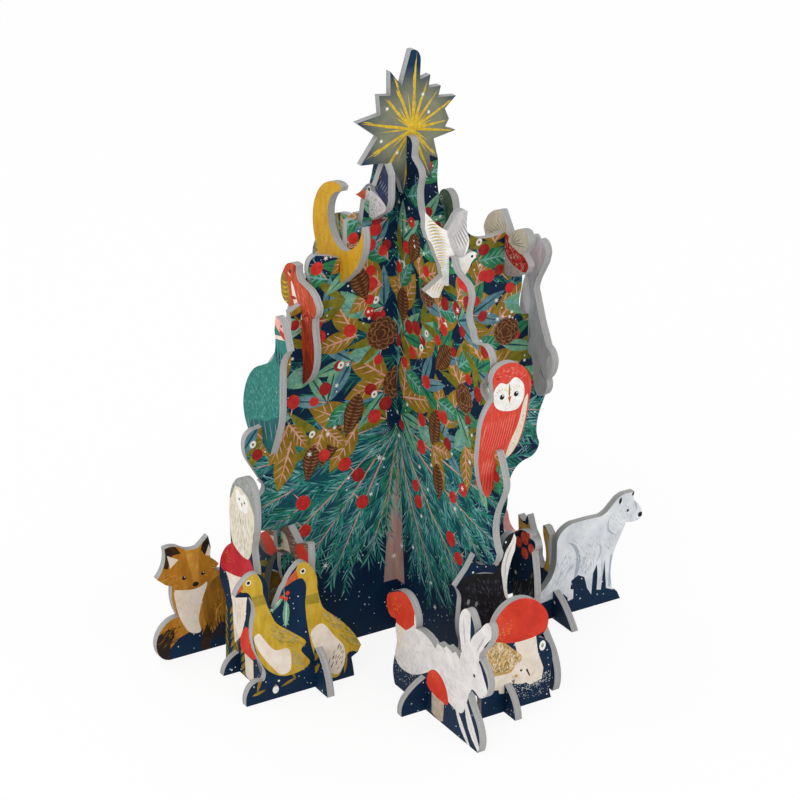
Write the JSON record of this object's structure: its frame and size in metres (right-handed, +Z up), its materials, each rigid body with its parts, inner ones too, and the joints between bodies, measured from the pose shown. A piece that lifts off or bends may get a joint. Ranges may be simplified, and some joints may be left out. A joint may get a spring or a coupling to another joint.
{
  "type": "advent calendar",
  "caption": "Slot-together advent calendar: two crossed tree-shaped boards with cut-out animals and a star slotted on to their edges.",
  "frame": {"origin": "on the floor, at the middle of the crossing of the two tree boards", "axes": "+Z up the tree to the star; +X along the wide tree board, to the viewer's right when it is seen from the front; -Y towards the front, along the cross tree board"},
  "size_m": [0.3279, 0.3266, 0.3993],
  "materials": {
    "tree_print": "matt printed paper on greyboard",
    "gold_print": "matt printed paper on greyboard",
    "white_print": "matt printed paper on greyboard",
    "red_print": "matt printed paper on greyboard",
    "teal_print": "matt printed paper on greyboard",
    "grey_print": "matt printed paper on greyboard",
    "ochre_print": "matt printed paper on greyboard",
    "brown_print": "matt printed paper on greyboard",
    "black_print": "matt printed paper on greyboard",
    "navy_print": "matt printed paper on greyboard",
    "pink_print": "matt printed paper on greyboard",
    "board_edge": "bare cut greyboard"
  },
  "bodies": {
    "root": {"tree_panel_wide": "tree_print", "tree_panel_cross": "tree_print", "star": "gold_print", "moon": "gold_print", "dove": "white_print", "white_owl": "white_print", "hare": "white_print", "arctic_fox": "white_print", "red_owl": "red_print", "squirrel": "red_print", "cardinal": "red_print", "robin": "red_print", "pheasant": "teal_print", "woodpecker": "teal_print", "small_bird": "grey_print", "wren": "grey_print", "climbing_hare": "grey_print", "fox": "ochre_print", "geese": "ochre_print", "fox_cubs": "ochre_print", "hedgehog": "ochre_print", "log": "brown_print", "deer": "brown_print", "badger": "black_print", "holly_twig": "navy_print", "bullfinch": "pink_print"}
  },
  "joints": []
}
